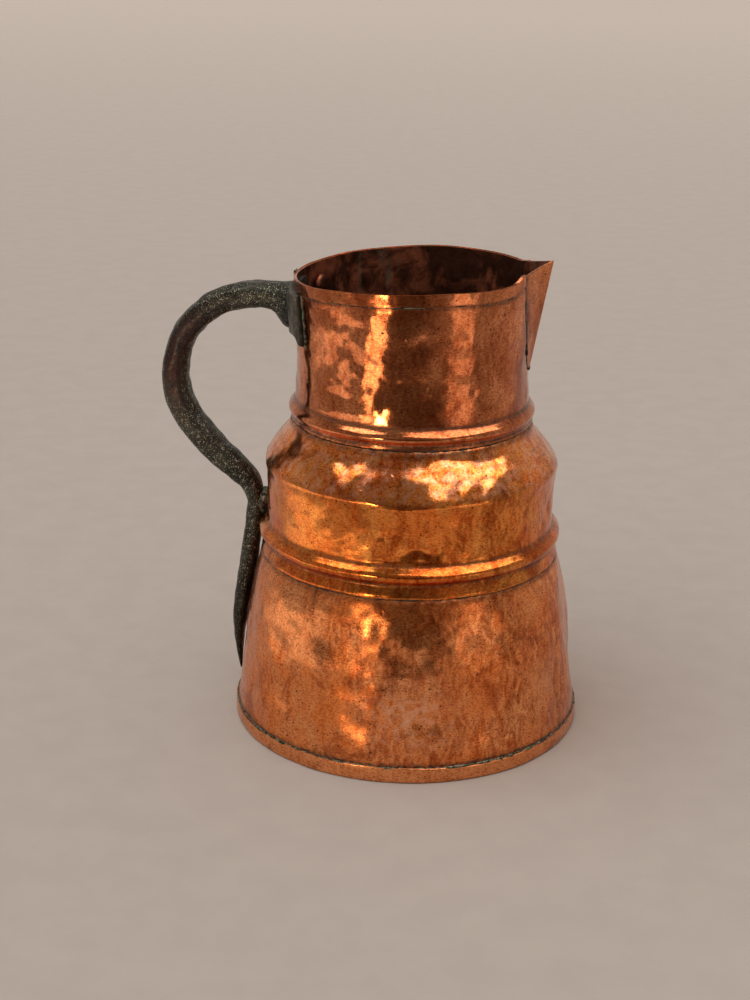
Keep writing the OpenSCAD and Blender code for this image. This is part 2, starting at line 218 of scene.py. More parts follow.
def surface(material, tree, base, metal, rough, relief, distance_mm, strength=0.5):
    """Ends a material: a bump from its relief, one shader and the output."""
    bump = add(tree, "Bump", {"Height": relief, "Strength": strength, "Distance": distance_mm * MM})
    look = {"Base Color": base, "Metallic": metal, "Roughness": rough, "Normal": bump}
    add(tree, "OutputMaterial", {"Surface": add(tree, "BsdfPrincipled", look)})
    return material


def worn_copper(name, bright, warm, oxide, rough, tarnish, streak, flame, seed):
    """Old sheet copper, planished, handled bright and never lacquered: a pink-orange metal under
    a thin warm oxide that gathers in brown clouds and runs down it in streaks. Handling keeps
    the high places bright and smooth, and the corners and creases are painted black with mottled shade."""
    material, tree, here = start_material(name)
    where = add(tree, "Mapping", {"Vector": here, "Location": (seed * 0.37, seed * 0.71, 0)})
    # The same place, stretched or turned for streaks, flames, dashes, stains and scratches.
    tall, leaning, dashed, squat, upward, sideways, slant = (
        add(tree, "Mapping", {"Vector": where, "Scale": scale, "Rotation": turn})
        for scale, turn in (
            ((1, 1, 0.3), (0, 0, 0)), ((1, 1, 0.4), (0.1, 0.06, 0)), ((0.8, 0.8, 1.9), (0, 0, 0)),
            ((1, 1, 0.7), (0, 0, 0)), ((1, 1, 0.06), (0, 0, 0)), ((0.05, 1, 1), (0.5, 0.4, 0.9)),
            ((1, 1, 0.55), (0.5, -0.3, 0.2)),
        )
    )
    # Noises: the place each is read at, its size in millimetres, detail, roughness and swirl.
    broad, runs, fine, grain, upright, slanting, small = (
        add(tree, "TexNoise", dict(zip(("Vector", "Scale", "Detail", "Roughness", "Distortion"), look)))
        for look in (
            (where, METRE / 42, 4, 0.6, 0.7), (tall, METRE / 7, 5, 0.65, 1.6), (where, METRE / 1.6, 3, 0.7, 0),
            (where, METRE / 0.5, 2, 0.6, 0), (upward, METRE / 0.8, 2, 0.6, 0.4),
            (sideways, METRE / 0.9, 2, 0.6, 0.3), (where, METRE / 3.2, 3, 0.6, 0.6),
        )
    )
    wear, haze, rubbed, grime = (
        add(tree, "Attribute", out="Fac", attribute_name=label) for label in ("wear", "haze", "rubbed", "grime")
    )

    # The metal itself, warmer in places, with heat flames and fine brown dashes in its skin. The flames are
    # painted darker as shade on the side turned from the lamps.
    warmth = add(tree, "MapRange", [weighted(tree, (broad, 0.6), (runs, 0.4)), 0.36, 0.62], **SMOOTH)
    base = layer(tree, bright, warm, warmth)
    flames = patches(tree, leaning, 5, 0.36, 0.64, 5, 0.68, 1.3, most=flame)
    side_shade = add(tree, "MapRange", [haze, 0.0, 1.0, 0.3, 1.0], **SMOOTH)
    base = layer(tree, base, "#b07c5c", flames, side_shade, how="MULTIPLY")
    dashes = patches(tree, dashed, 1.3, 0.46, 0.6, 4, 0.8, 0.3, most=0.7)
    base = layer(tree, base, "#ac7654", dashes, how="MULTIPLY")

    # Oxide in clouds and runs, worn off the high places, then stains, and metal rubbed bare.
    clouds = weighted(tree, (runs, 0.82 * streak), (broad, 0.82 * (1 - streak)), (fine, 0.18))
    dull = add(tree, "MapRange", [clouds, 0.64 - 0.2 * tarnish, 0.8 - 0.22 * tarnish], **SMOOTH)
    left_on = add(tree, "MapRange", [wear, 0.0, 0.9, 1.0, 0.25], **SMOOTH)
    dull = add(tree, "Math", [dull, left_on], **TIMES)
    base = layer(tree, base, oxide, dull)
    stain = patches(tree, squat, 26, 0.52, 0.62, 6, 0.7, 1.2, most=0.45)
    base = layer(tree, base, "#98604a", stain, how="MULTIPLY")
    base = layer(tree, base, "#ffc09c", patches(tree, where, 5, 0.42, 0.66, 5, 0.7, 0.2), rubbed)

    # Small brown dots, deep pits and nicks, and painted shade, mottled and nearly black, in the corners and
    # creases.
    dot = spots(tree, where, 2.4, 0.12, 0.26, patches(tree, where, 9, 0.48, 0.58, 4, 0.75, most=0.9))
    pit = spots(tree, where, 9, 0.04, 0.09, patches(tree, where, 30, 0.5, 0.6, 2))
    nick = spots(tree, slant, 6.5, 0.04, 0.2, patches(tree, where, 16, 0.5, 0.6, 2))
    base = layer(tree, base, "#4a2a1a", dot)
    shade_plus_dirt = add(tree, "Math", [grime, patches(tree, where, 3.5, 0.3, 0.62, 4, 0.7, least=0.35)], **TIMES)
    dark = add(tree, "Math", [pit, shade_plus_dirt], operation="MAXIMUM")
    base = layer(tree, base, "#20130c", dark)

    gloss = add(tree, "MapRange", [clouds, 0.35, 0.75, rough, rough + 0.14], **SMOOTH)
    gloss = weighted(tree, (gloss, 1.0), (dull, 0.05 + 0.1 * tarnish), (dark, 0.3))
    metal = add(tree, "MapRange", [dark, 0.2, 1.0, 1.0, 0.3], **SMOOTH)
    scratches = (upright, 0.22), (slanting, 0.22), (grain, 0.12), (fine, 0.3), (small, 0.4)
    relief = weighted(tree, *scratches, (pit, -0.8), (nick, -1.6))
    return surface(material, tree, base, metal, gloss, relief, 0.08, 0.6)


def dark_inside(name):
    """The unpolished inside of old copper: nearly black cupric oxide with red cuprite showing
    through, and grey-green streaks of worn tinning and lime where water ran."""
    material, tree, where = start_material(name)
    base = layer(tree, "#4a2a1e", "#a05e42", patches(tree, where, 22, 0.46, 0.66, 5, 0.65, 0.8))
    tall = add(tree, "Mapping", {"Vector": where, "Scale": (1, 1, 0.16)})
    base = layer(tree, base, "#5f6a5e", patches(tree, tall, 9, 0.58, 0.74, 4, 0.6, 0.5), 0.7)
    rough = patches(tree, where, 5, 0.3, 0.7, 4, 0.6, least=0.3, most=0.55)
    grain = add(tree, "TexNoise", {"Vector": where, "Scale": METRE / 1.4, "Detail": 4, "Roughness": 0.65})
    return surface(material, tree, base, 0.8, rough, grain, 0.2)


inside_copper = dark_inside("oxidised_inside")
pan_copper = worn_copper("pan_copper", "#ffb076", "#ea9860", "#7a482c", 0.22, 0.45, 0.3, 0.5, 1)

pan_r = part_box("base_pan")[1][0]
pan_wall_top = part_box("base_pan")[1][2]
COLUMNS = 420
ring = np.linspace(0, TURN, COLUMNS, endpoint=False)[None, :]
# The pan's section, as [radius, height] in millimetres: under the floor, up the wall, and back in.
PAN_DRAWN_R = 99.5 * MM
pan_section = np.array([
    [2, 0.5], [40, 0.35], [80, 0.15], [97.6, 0], [98.9, 0.25], [99.4, 1.1], [99.35, 3], [99.3, 5],
    [99.3, 7.6], [99.1, 8.3], [98.7, 8.5], [98.3, 8.3], [98.2, 7], [98.2, 4], [98.1, 2.2], [97.4, 1.5],
    [80, 1.5], [40, 1.75], [2, 1.9],
]) * MM
pan_out = pan_section[:, 0:1] + pan_r - PAN_DRAWN_R
pan_up = pan_section[:, 1:2]
pan_wobble = rolls(ring, 0, pan_r, (90, 0.15, 3), (22, 0.07, 4)) * step(pan_out, 60 * MM, 95 * MM)
pan_edge = rolls(ring, 0, pan_r, (60, 0.3, 5), (9, 0.12, 6)) * (pan_up / pan_wall_top) ** 3
pan_points = place(pan_out + pan_wobble, ring, pan_up + pan_edge)
pan_flat, pan_faces = capped(pan_points)
first_inner_row = 12
pan_rows = np.repeat(np.arange(len(pan_section) - 1) >= first_inner_row, COLUMNS)
pan_inside = np.concatenate([pan_rows, np.zeros(COLUMNS), np.ones(COLUMNS)])
# Painted shade darkens the top of the pan's wall, where the skirt stands in it, and its foot on the floor.
pan_shade = 0.8 * near(pan_up, pan_wall_top, 0.9 * MM) * (pan_out < pan_r - 0.6 * MM)
pan_shade = pan_shade + 0.5 * near(pan_up, 0, 0.6 * MM)
pan_masks = on_tube(pan_points.shape[:2], grime=pan_shade, wear=near(pan_up, 0.6 * MM, 1.2 * MM))
pan_metals = [pan_copper, inside_copper]
make_piece("base_pan_copper", pan_flat, pan_faces, pan_metals, "copper", "base_pan", pan_masks, pan_inside)

# ---------------------------------------------------------------------------
# Skirt: one sheet of copper raised into a cone and planished all over. Its foot
# stands in the pan, and its plain collar goes up inside the middle course.
# ---------------------------------------------------------------------------


def hammering(angle, height, radius, pitch, depth, seed):
    """Planishing marks: each point rises with its squared distance to the nearest hammer blow,
    so that shallow dishes meet in low ridges. Blows lie near a grid, each moved at random."""
    rng = np.random.default_rng(seed)
    around = max(8, round(TURN * radius / pitch))
    up = 200
    jitter = rng.uniform(0.1, 0.9, (up, around, 2))
    across, rise = np.broadcast_arrays((angle % TURN) / TURN * around, height / pitch + 3)
    nearest = np.full(across.shape, 9.0)
    for dx in (-1, 0, 1):
        for dy in (-1, 0, 1):
            column = np.floor(across) + dx
            row = np.floor(rise) + dy
            blow = jitter[row.astype(int) % up, column.astype(int) % around]
            gap = (column + blow[..., 0] - across) ** 2 + (row + blow[..., 1] - rise) ** 2
            nearest = np.minimum(nearest, gap)
    return depth * (nearest - 0.3)


def knocks(angle, height, radius, seed, count, low, high, size, depth):
    """Scattered single dents: the sum of round hollows at random places between two heights."""
    rng = np.random.default_rng(seed)
    total = 0
    for _ in range(count):
        at, level = rng.uniform(0, TURN), rng.uniform(low, high)
        reach, drop = size * rng.uniform(0.6, 1.6), depth * rng.uniform(0.3, 1.2)
        across = ((angle - at + math.pi) % TURN - math.pi) * radius
        total = total - drop * np.exp(-(across ** 2 + (height - level) ** 2) / reach ** 2)
    return total


def sheet(outer, thickness, closed_round=True, open_rows=None):
    """A sheet of metal from the grid of its outer face: the inner face lies `thickness` along the
    normals, and both are joined round the edges over a rounded lip. Returns the points, the faces
    and which faces are inside. A grid that doesn't close round is joined at its sides on open_rows."""
    padded = np.pad(outer, ((0, 0), (1, 1), (0, 0)), mode="wrap" if closed_round else "edge")
    normal = np.cross(padded[:, 2:] - padded[:, :-2], np.gradient(outer, axis=0))
    normal /= np.linalg.norm(normal, axis=2, keepdims=True) + 1e-12
    inner = outer - normal * thickness
    rows, columns = outer.shape[:2]
    lips = []
    for at, next_in in ((slice(0, 1), slice(1, 2)), (slice(-1, None), slice(-2, -1))):
        way = outer[at] - outer[next_in]
        way = way * 0.25 * thickness / np.linalg.norm(way, axis=2, keepdims=True)
        lips.append((outer[at] + inner[at]) / 2 + way)
    loop = np.concatenate([lips[0], outer, lips[1], inner[::-1]])
    faces = grid_faces(2 * rows + 2, columns, True, closed_round)
    across = columns if closed_round else columns - 1
    inside = np.repeat(np.arange(2 * rows + 2) > rows + 1, across)
    if not closed_round:
        i = np.arange(rows - 1) if open_rows is None else open_rows
        out_a, out_b = (i + 1) * columns, (i + 2) * columns
        in_a, in_b = (2 * rows + 1 - i) * columns, (2 * rows - i) * columns
        start = np.stack([out_a, out_b, in_b, in_a], axis=1)
        faces = np.vstack([faces, start, start[:, ::-1] + columns - 1])
        inside = np.append(inside, np.zeros(2 * len(i)))
    return loop, faces, inside


def on_sheet(shape, **masks):
    """Masks of a sheet's outer face, as they fall on all of the sheet's points."""
    spread = {label: np.broadcast_to(mask, shape) for label, mask in masks.items()}
    return {label: np.concatenate([m[:1], m, m[-1:], m[::-1]]) for label, m in spread.items()}


def along(table, height):
    """Reads a profile of [height, radius] rows, in millimetres, rounded over about a millimetre."""
    heights, radii = np.array(table).T * MM
    offsets = np.array([-0.9, -0.45, 0, 0.45, 0.9]) * MM
    return np.mean([np.interp(height + offset, heights, radii) for offset in offsets], axis=0)


# Profiles are rows of [height, radius] in millimetres. A course's mean radius sets its dents' spacing.
SKIRT_LINE = [
    [1.4, 98.0], [8.5, 98.05], [10, 98.1], [12, 97.7], [27, 96.1], [40, 94.4], [58, 92.6], [70, 90.6],
    [83, 88.4], [90, 86.9], [98, 84.7], [100, 83.9], [101.5, 82.4], [108.5, 80.2], [117.5, 79.1], [119.7, 78.9],
]
SKIRT_MEAN = 92 * MM


def skirt_radius(angle, height):
    """The skirt's outer face: its profile, its rolling and dents, and its hammer marks, which
    die away where the pan and the middle course hold it."""
    free = step(height, 8 * MM, 18 * MM) * (1 - step(height, 92 * MM, 100 * MM))
    roll = rolls(angle, height, SKIRT_MEAN, (50, 0.36, 11), (18, 0.13, 12), (7, 0.022, 16))
    marks = hammering(angle, height, SKIRT_MEAN, 9 * MM, 0.07 * MM, 13)
    marks = marks + knocks(angle, height, SKIRT_MEAN, 14, 120, 15 * MM, 97 * MM, 2.4 * MM, 0.16 * MM)
    return along(SKIRT_LINE, height) + free * (roll + marks)


skirt_levels = np.concatenate([np.linspace(1.5, 100.7, 100), np.linspace(102, 119.4, 10)])[:, None] * MM
skirt_grid = place(skirt_radius(ring, skirt_levels), ring, skirt_levels)
skirt_loop, skirt_faces, skirt_inside = sheet(skirt_grid, SHEET)
skirt_worn = step(waves(ring, skirt_levels, SKIRT_MEAN, 26 * MM, 1, 15), 0.5, 1.6)
# Painted shade: the flames are darker on the side turned from the lamps, and the skirt darkens just above the
# pan and under the middle course's lip.
skirt_masks = on_sheet(
    skirt_grid.shape[:2],
    haze=step(np.cos(ring + 0.7) + waves(ring, skirt_levels, SKIRT_MEAN, 45 * MM, 0.4, 17), -0.1, 1.0),
    rubbed=0.9 * near(ring, TURN * 0.772, 0.2) * near(skirt_levels, 36 * MM, 16 * MM),
    grime=near(skirt_levels, 9.5 * MM, 1.6 * MM) + 0.8 * near(skirt_levels, 99.6 * MM, 1.3 * MM),
    wear=skirt_worn * step(skirt_levels, 12 * MM, 30 * MM),
)
skirt_copper = worn_copper("skirt_copper", "#ffb074", "#ff9852", "#8a4a24", 0.17, 0.5, 0.5, 0.7, 2)
skirt_metals = [skirt_copper, inside_copper]
make_piece("skirt_copper", skirt_loop, skirt_faces, skirt_metals, "copper", "skirt", skirt_masks, skirt_inside)

# ---------------------------------------------------------------------------
# Middle course: a lip lapped over the skirt, a swaged bead, a band drawn in a
# little, a wavy crease knocked over a stake, and the sloping shoulder.
# ---------------------------------------------------------------------------
MIDDLE_LINE = [
    [100.7, 83.9], [101.6, 84.1], [104, 83.2], [107, 82.1], [108.3, 81.7], [109.2, 83.2], [110.6, 84.7],
    [112.2, 85.4], [113.6, 85.5], [115.2, 84.7], [116.6, 82.9], [117.8, 81.3], [120, 80.8], [128, 80.5],
    [135, 80.6], [143, 80.9], [148, 81.3], [150.5, 81.8], [152, 81.9], [153.6, 81.5], [155.5, 80.6],
    [158, 79.2], [161, 77.4], [164.5, 75.0], [167, 72.9], [170, 70.5], [172.5, 68.7], [175, 67.7], [176.8, 67.3],
    [178.2, 65.4], [180.5, 64.9], [188, 63.3], [195, 62.0],
]
MIDDLE_MEAN = 80 * MM
WAIST_Z = 100.7 * MM


def crease_drift(angle):
    """How far the shoulder's crease wanders up and down as it goes round."""
    return rolls(angle, 0, 81 * MM, (120, 0.7, 21), (26, 0.35, 22))


def middle_radius(angle, height):
    """The middle course's outer face. Its crease wanders, its band is dented, and its shoulder
    is planished with small close marks."""
    drift = crease_drift(angle) * near(height, 152 * MM, 9 * MM)
    free = step(height, 102 * MM, 120 * MM) * (1 - step(height, 166 * MM, 175 * MM))
    roll = rolls(angle, height, MIDDLE_MEAN, (34, 0.26, 23), (12, 0.1, 24), (6, 0.025, 29))
    marks = hammering(angle, height, MIDDLE_MEAN, 7.5 * MM, 0.07 * MM, 25)
    marks = marks + knocks(angle, height, MIDDLE_MEAN, 26, 90, 119 * MM, 172 * MM, 2.0 * MM, 0.14 * MM)
    lip = waves(angle, 0, 84 * MM, 16 * MM, 0.12 * MM, 27) * near(height, 103 * MM, 6 * MM)
    return along(MIDDLE_LINE, height - drift) + free * (roll + marks) + lip


middle_levels = np.concatenate([np.linspace(100.8, 178, 104), np.linspace(180, 194.8, 6)])[:, None] * MM
middle_edge = waves(ring, 0, 84 * MM, 30 * MM, 0.25 * MM, 28) * near(middle_levels, WAIST_Z, 2 * MM)
middle_grid = place(middle_radius(ring, middle_levels), ring, middle_levels + middle_edge)
middle_loop, middle_faces, middle_inside = sheet(middle_grid, SHEET)
# Painted shade darkens the lip, each side of the bead, under the crease and where the neck laps over.
middle_shade = 0.14 * (1 - step(middle_levels, 107 * MM, 109.5 * MM)) + (
    0.7 * near(middle_levels, 107.8 * MM, 1.2 * MM) + 0.75 * near(middle_levels, 118.4 * MM, 1.4 * MM)
    + 0.8 * near(middle_levels, 176.4 * MM, 1.6 * MM) + 0.25 * near(middle_levels, 154.6 * MM, 1.5 * MM)
)
# Two lines scribed round the shoulder, worn away in places.
scribed = 0.5 * step(waves(ring, middle_levels, 75 * MM, 30 * MM, 1, 31), -0.6, 0.4) * (
    near(middle_levels, 163.3 * MM, 0.45 * MM) + near(middle_levels, 167.2 * MM, 0.45 * MM)
)
crease_wear = near(middle_levels - crease_drift(ring), 151.8 * MM, 1.3 * MM)
# Painted shade: the flames are darker on the side turned from the lamps, and on the lip under the bead.
middle_shaded_side = step(np.cos(ring + 0.6) + waves(ring, middle_levels, MIDDLE_MEAN, 40 * MM, 0.4, 18), -0.1, 1.0)
middle_masks = on_sheet(
    middle_grid.shape[:2],
    haze=np.maximum(middle_shaded_side, 0.6 * (1 - step(middle_levels, 106 * MM, 109.5 * MM))),
    grime=middle_shade + scribed,
    rubbed=0.55 * step(middle_levels, 151 * MM, 156 * MM),
    wear=near(middle_levels, 113.2 * MM, 2.2 * MM) + 0.9 * crease_wear,
)
middle_copper = worn_copper("middle_copper", "#ffaa56", "#ff883c", "#864020", 0.12, 0.42, 0.6, 0.7, 3)
middle_metals = [middle_copper, inside_copper]
middle_mesh = (middle_loop, middle_faces, middle_metals)
make_piece("middle_copper", *middle_mesh, "copper", "middle_course", middle_masks, middle_inside)

# ---------------------------------------------------------------------------
# Neck: a lip lapped over the shoulder, a swaged bead, and a nearly straight
# barrel with a V cut for the spout. Its rim was trimmed by eye and isn't level.
# ---------------------------------------------------------------------------
NECK_LINE = [
    [178, 67.0], [178.8, 67.1], [180.2, 66.7], [181, 66.8], [181.8, 67.7], [183, 68.4], [184.2, 68.5],
    [185.6, 67.9], [187, 66.4], [188, 65.2], [190, 64.8], [194, 64.6], [203, 64.0], [212, 63.9], [226, 64.2],
    [240, 64.6], [252, 65.0], [262, 65.2],
]
NECK_MEAN = 64 * MM
NECK_TOP = 260 * MM
Z_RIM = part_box("neck")[1][2]
Z_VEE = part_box("spout")[0][2]
ROOT = math.radians(20)


def rim_height(angle):
    """The rim's level: highest by the spout, where it rises to meet the seams, lowest behind."""
    side = (angle + math.pi) % TURN - math.pi
    level = -1.1 + 2.1 * np.cos(side) - 1.1 * np.cos(2 * side) + waves(angle, 0, 65 * MM, 40 * MM, 0.12, 31)
    horns = near(side, -ROOT, 0.12) * 4.0 + near(side, ROOT, 0.13) * 2.6
    return Z_RIM + (level + horns) * MM


def neck_radius(angle, height):
    """The neck's outer face: drawn smooth, with long shallow rolls, light hammer marks and dents."""
    free = step(height, 188 * MM, 196 * MM) * (1 - 0.5 * step(height, 245 * MM, NECK_TOP))
    roll = rolls(angle, height, NECK_MEAN, (46, 0.2, 32), (15, 0.08, 33), (6, 0.016, 36))
    marks = hammering(angle, height, NECK_MEAN, 8 * MM, 0.045 * MM, 34)
    marks = marks + knocks(angle, height, NECK_MEAN, 35, 170, 192 * MM, 252 * MM, 1.8 * MM, 0.1 * MM)
    return along(NECK_LINE, height) + free * (roll + marks)


def seam_angle(height):
    """Half the angle of the spout's V cut at a height, opening fast and then slowly."""
    share = np.clip((height - Z_VEE) / (55 * MM), 0, 1.1)
    return ROOT * share ** 0.53


neck_levels = np.linspace(178, 260, 110)[:, None] * MM
neck_open = seam_angle(neck_levels)
neck_angle = neck_open + np.linspace(0, 1, COLUMNS)[None, :] * (TURN - 2 * neck_open)
neck_lift = (rim_height(neck_angle) - Z_RIM) * step(neck_levels, 232 * MM, NECK_TOP)
neck_grid = place(neck_radius(neck_angle, neck_levels), neck_angle, neck_levels + neck_lift)
cut_rows = np.flatnonzero(neck_levels[:-1, 0] > Z_VEE)
neck_loop, neck_faces, neck_inside = sheet(neck_grid, SHEET, False, cut_rows)
# Painted shade darkens the lap over the shoulder, under the bead and under the rim band.
neck_shade = (
    near(neck_levels, 179.8 * MM, 1.0 * MM) + 0.85 * near(neck_levels, 189 * MM, 1.5 * MM)
    + 0.6 * near(neck_levels, 252.6 * MM, 1.2 * MM)
)
# Painted shade: the flames are darker on the front and right, turned from the lamps.
neck_shaded_side = np.cos(neck_angle + 1.2) + waves(neck_angle, neck_levels, NECK_MEAN, 40 * MM, 0.5, 19)
neck_masks = on_sheet(
    neck_grid.shape[:2],
    haze=step(neck_shaded_side, -0.2, 1.0),
    grime=neck_shade,
    wear=near(neck_levels, 184 * MM, 2 * MM) + near(neck_levels, 178.6 * MM, 0.6 * MM),
)
neck_copper = worn_copper("neck_copper", "#f4a06c", "#ce784a", "#70402c", 0.07, 0.38, 0.5, 0.5, 4)
neck_metals = [neck_copper, inside_copper]
make_piece("neck_copper", neck_loop, neck_faces, neck_metals, "copper", "neck", neck_masks, neck_inside)

# ---------------------------------------------------------------------------
# Rim band: a thin strip of copper soldered round the outside of the rim, from
# one side of the spout round to the other.
# ---------------------------------------------------------------------------
BAND_DEPTH = 6.4 * MM
BAND_SHEET = 0.8 * MM
band_open = ROOT + math.radians(0.4)
band_angle = np.linspace(band_open, TURN - band_open, COLUMNS)[None, :]
band_share = np.linspace(0, 1, 12)[:, None]
band_top = rim_height(band_angle) + 0.25 * MM
band_foot = band_top - BAND_DEPTH + waves(band_angle, 0, 65 * MM, 14 * MM, 0.15 * MM, 41)
band_level = band_foot + (band_top - band_foot) * band_share
band_ripple = waves(band_angle, band_level, 65 * MM, 9 * MM, 0.05 * MM, 42)
band_out = neck_radius(band_angle, np.minimum(band_level, NECK_TOP)) + BAND_SHEET + band_ripple
band_grid = place(band_out, band_angle, band_level)
band_loop, band_faces, _ = sheet(band_grid, BAND_SHEET, False)
# Painted shade darkens the band's lower edge, against the neck.
band_shade = 0.6 * near(band_share, 0, 0.12)
band_masks = on_sheet(band_grid.shape[:2], grime=band_shade, wear=near(band_share, 1, 0.25))
make_piece("rim_band_copper", band_loop, band_faces, [neck_copper], "copper", "rim_band", band_masks)

# ---------------------------------------------------------------------------
# Spout: a beak folded from sheet copper, let into the V cut in the neck. Its
# keel is straight, its sides bow in a little and its lip slopes up to the tip.
# ---------------------------------------------------------------------------
TIP_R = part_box("spout")[1][0]
TIP_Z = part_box("spout")[1][2]
beak_share = np.linspace(0, 1, 90)[:, None]
beak_across = np.linspace(-1, 1, 121)[None, :]
KEEL_R = 64.4 * MM
ROUNDED = 0.05
keel_r = KEEL_R + (TIP_R - KEEL_R) * beak_share
keel_z = Z_VEE + (TIP_Z - 0.3 * MM - Z_VEE) * beak_share
seam_z = Z_VEE + (262.6 * MM - Z_VEE) * beak_share
# The fold along the keel is a soft one: the side's share grows slowly at first, then evenly.
beak_side = (np.sqrt(beak_across ** 2 + ROUNDED ** 2) - ROUNDED) / (math.sqrt(1 + ROUNDED ** 2) - ROUNDED)
beak_turn = seam_angle(seam_z) * np.sign(beak_across)
beak_root_r = neck_radius(beak_turn, np.minimum(seam_z, NECK_TOP)) + 0.15 * MM
keel_point = np.stack(np.broadcast_arrays(keel_r, 0 * keel_r, keel_z), axis=-1)
root_point = place(beak_root_r, beak_turn, seam_z)
amount = beak_side[..., None]
beak_grid = keel_point * (1 - amount) + root_point * amount
bow = (amount * (1 - amount)) * 4
beak_grid[..., 0:1] -= bow * 0.9 * MM * beak_share[..., None]
beak_ripple = waves(beak_across * 0.5, seam_z, 60 * MM, 16 * MM, 0.16 * MM, 51)
beak_grid[..., 1] += np.sign(beak_across) * beak_ripple * bow[..., 0]
beak_grid = beak_grid[1:]
beak_loop, beak_faces, beak_inside = sheet(beak_grid, SHEET, False)
# Painted shade darkens the spout's edges along its seams with the neck.
beak_masks = on_sheet(
    beak_grid.shape[:2],
    grime=near(np.abs(beak_across), 1, 0.12),
    wear=near(beak_across, 0, 0.06) + near(beak_share[1:], 1, 0.03),
)
spout_copper = worn_copper("spout_copper", "#f09c64", "#c87444", "#6c3c26", 0.13, 0.5, 0.5, 0.6, 5)
spout_metals = [spout_copper, inside_copper]
make_piece("spout_copper", beak_loop, beak_faces, spout_metals, "copper", "spout", beak_masks, beak_inside)

# ---------------------------------------------------------------------------
# Soft solder: thin uneven fillets of tin and lead in every lapped joint, gone
# grey, with green copper salts and dirt in them.
# ---------------------------------------------------------------------------


def tube(path, across, up, sides=10):
    """A round bead along a path: each ring has its own half width in two directions."""
    turn = np.linspace(0, TURN, sides, endpoint=False)[None, :, None]
    return path[:, None, :] + np.cos(turn) * across[:, None, :] + np.sin(turn) * up[:, None, :]


def old_solder(name, grey, green_salt):
    """Soft solder run into a joint long ago: dull grey, lumpy, with green and black deposits."""
    material, tree, where = start_material(name)
    base = layer(tree, grey, green_salt, patches(tree, where, 6, 0.45, 0.62, 4, 0.65))
    base = layer(tree, base, "#241a12", patches(tree, where, 3, 0.42, 0.6, 4, 0.7))
    rough = patches(tree, where, 1.5, 0.3, 0.7, 3, 0.6, least=0.38, most=0.62)
    grain = add(tree, "TexNoise", {"Vector": where, "Scale": METRE / 0.8, "Detail": 4, "Roughness": 0.65})
    return surface(material, tree, base, 0.55, rough, grain, 0.2)


def fillet_ring(name, node, metal, radius, level, size, seed, low=0.0, high=TURN):
    """A ring of solder whose thickness and line vary as it goes round, all the way or between two
    angles. Radius and level are functions of the angle."""
    steps = 720
    closed = high - low >= TURN
    angle = np.linspace(low, high, steps, endpoint=not closed)
    wander = waves(angle, 0, MIDDLE_MEAN, 9 * MM, 1, seed)
    width = size * (1 + 0.28 * wander + 0.2 * waves(angle, 0, MIDDLE_MEAN, 3 * MM, 1, seed + 1))
    width = np.clip(width, 0.3 * size, 2 * size)[:, None]
    path = place(radius(angle) + 0.1 * size * wander, angle, level(angle))
    rings = tube(path, place(1.0, angle, 0.0) * width, np.array([[0, 0, 1.0]]) * width)
    if closed:
        make_piece(name, rings, grid_faces(*rings.shape[:2], True, True), [metal], "soft_solder", node)
    else:
        make_piece(name, *capped(rings), [metal], "soft_solder", node)


solder = old_solder("old_soft_solder", "#77705f", "#5c8468")
sooty_solder = old_solder("sooty_soft_solder", "#4a3c2c", "#33332a")



def foot_line(angle):
    """The foot's solder stands just off the skirt."""
    return skirt_radius(angle, 8.6 * MM) + 0.15 * MM


def rim_line(angle):
    """The rim's solder stands just off the neck."""
    return neck_radius(angle, 253 * MM) + 0.15 * MM


def rim_solder_level(angle):
    """It follows the band's lower edge."""
    return rim_height(angle) - BAND_DEPTH


def level_line(height):
    """A line at one height all the way round."""
    return lambda angle: height + 0 * angle


fillet_ring("foot_solder_bead", "foot_solder", solder, foot_line, level_line(8.5 * MM), 0.6 * MM, 61)
for name, node, course, beside, height, size, seed in (
    ("waist_solder_bead", "waist_solder", skirt_radius, 99.9 * MM, 100.5 * MM, 0.26 * MM, 63),
    ("neck_solder_bead", "neck_solder", middle_radius, 176.9 * MM, 177.8 * MM, 0.3 * MM, 65),
):
    fillet_ring(name, node, sooty_solder, lambda angle: course(angle, beside), level_line(height), size, seed)
# The palm covers this much of a turn on each side of the back, and the rim's solder stops there.
PALM_HALF = 0.62
for name, node, seed, low, high in (
    ("rim_solder_right", "rim_solder", 67, band_open, math.pi - PALM_HALF),
    ("rim_solder_left", None, 69, math.pi + PALM_HALF, TURN - band_open),
):
    fillet_ring(name, node, solder, rim_line, rim_solder_level, 0.36 * MM, seed, low, high)

# The spout's solder runs up one seam and down the other, thickest at the V's foot, with a few lumps.
seam_share = np.linspace(-1, 1, 401)
seam_level = Z_VEE - 0.6 * MM + (253.6 * MM - Z_VEE) * np.abs(seam_share) ** 1.4
seam_turn = np.sign(seam_share) * seam_angle(seam_level)
seam_path = place(neck_radius(seam_turn, seam_level) + 0.1 * MM, seam_turn, seam_level)
lump_rng = np.random.default_rng(71)
seam_uneven = 1 + 0.3 * waves(seam_share * 3, 0, 60 * MM, 12 * MM, 1, 72)
seam_width = 0.42 * MM * (1 - 0.7 * np.abs(seam_share) ** 0.5) * seam_uneven
for _ in range(14):
    lump, at, reach = lump_rng.uniform(0.15, 0.5), lump_rng.uniform(-0.62, 0.62), lump_rng.uniform(0.03, 0.07)
    seam_width = seam_width + lump * MM * near(seam_share, at, reach)
seam_along = np.gradient(seam_path, axis=0)
seam_along /= np.linalg.norm(seam_along, axis=1, keepdims=True)
seam_out = place(1.0, seam_turn, 0.0)
seam_cross = np.cross(seam_along, seam_out)
seam_rings = tube(seam_path, seam_out * seam_width[:, None] * 0.8, seam_cross * seam_width[:, None])
make_piece("spout_solder_bead", *capped(seam_rings), [solder], "soft_solder", "spout_solder")

# ---------------------------------------------------------------------------
# Palm: a thick plate bent round the neck under the rim, with a wing and a pointed
# tongue on each side and a small spike behind the bar, bedded on solder.
# ---------------------------------------------------------------------------


